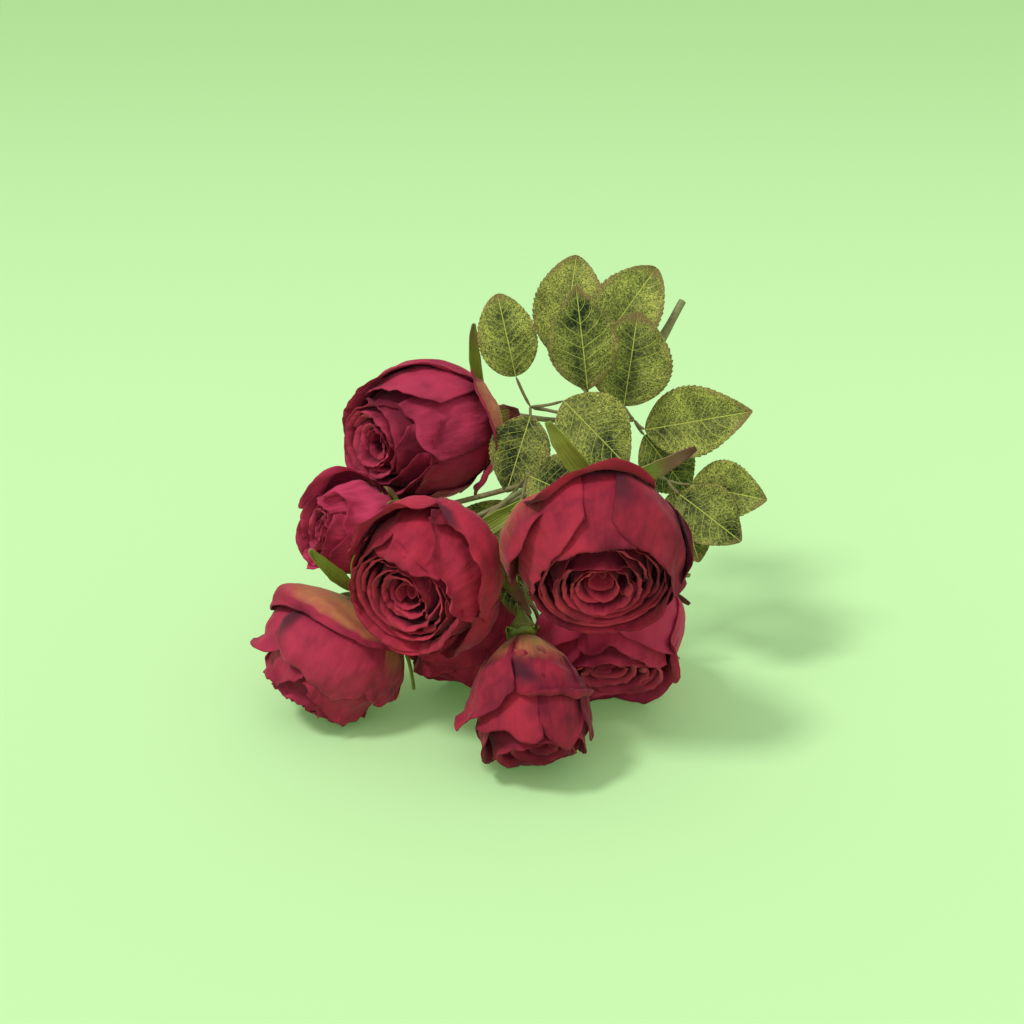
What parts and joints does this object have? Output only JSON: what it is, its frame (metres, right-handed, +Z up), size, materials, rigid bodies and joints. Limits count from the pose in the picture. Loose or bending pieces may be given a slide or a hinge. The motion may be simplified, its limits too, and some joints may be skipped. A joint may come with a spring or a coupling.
{
  "type": "bunch of roses",
  "caption": "Bunch of full red fabric roses on one branched stem with serrated leaves, lying on its flower heads with the stem's free end raised behind.",
  "frame": {"origin": "on the surface the bunch lies on, under the middle of its bounding box", "axes": "+X to the viewer's right, +Y away from the viewer, +Z up, seen with the flowers in front and the stem's free end behind at the upper right"},
  "size_m": [0.2694, 0.24, 0.2161],
  "materials": {
    "petals": "crimson woven petal fabric, matte, olive-peach at the petal roots, frayed edges",
    "heart_petals": "darker crimson petal fabric, matte",
    "leaves": "printed leaf fabric, green with pale veins and reddish tips, matte",
    "sepals": "yellow-green, matte, reddish tips",
    "stem": "olive green moulded stem, brownish in places, satin to matte"
  },
  "bodies": {
    "root": {"main_stem": "stem", "rose_1_petals": "petals", "rose_1_heart": "heart_petals", "rose_1_calyx": "sepals", "rose_1_stem": "stem", "rose_2_petals": "petals", "rose_2_heart": "heart_petals", "rose_2_calyx": "sepals", "rose_2_stem": "stem", "rose_3_petals": "petals", "rose_3_heart": "heart_petals", "rose_3_calyx": "sepals", "rose_3_stem": "stem", "rose_4_petals": "petals", "rose_4_heart": "heart_petals", "rose_4_calyx": "sepals", "rose_4_stem": "stem", "rose_5_petals": "petals", "rose_5_heart": "heart_petals", "rose_5_calyx": "sepals", "rose_5_stem": "stem", "rose_6_petals": "petals", "rose_6_heart": "heart_petals", "rose_6_calyx": "sepals", "rose_6_stem": "stem", "rose_7_petals": "petals", "rose_7_heart": "heart_petals", "rose_7_calyx": "sepals", "rose_7_stem": "stem", "rose_8_petals": "petals", "rose_8_heart": "heart_petals", "rose_8_calyx": "sepals", "rose_8_stem": "stem", "sprig_1": "stem", "sprig_2": "stem", "sprig_3": "stem", "sprig_4": "stem", "sprig_5": "stem", "leaf_1": "leaves", "leaf_2": "leaves", "leaf_3": "leaves", "leaf_4": "leaves", "leaf_5": "leaves", "leaf_6": "leaves", "leaf_7": "leaves", "leaf_8": "leaves", "leaf_9": "leaves", "leaf_10": "leaves", "leaf_11": "leaves", "leaf_12": "leaves", "leaf_13": "leaves", "leaf_14": "leaves", "leaf_15": "leaves"}
  },
  "joints": []
}
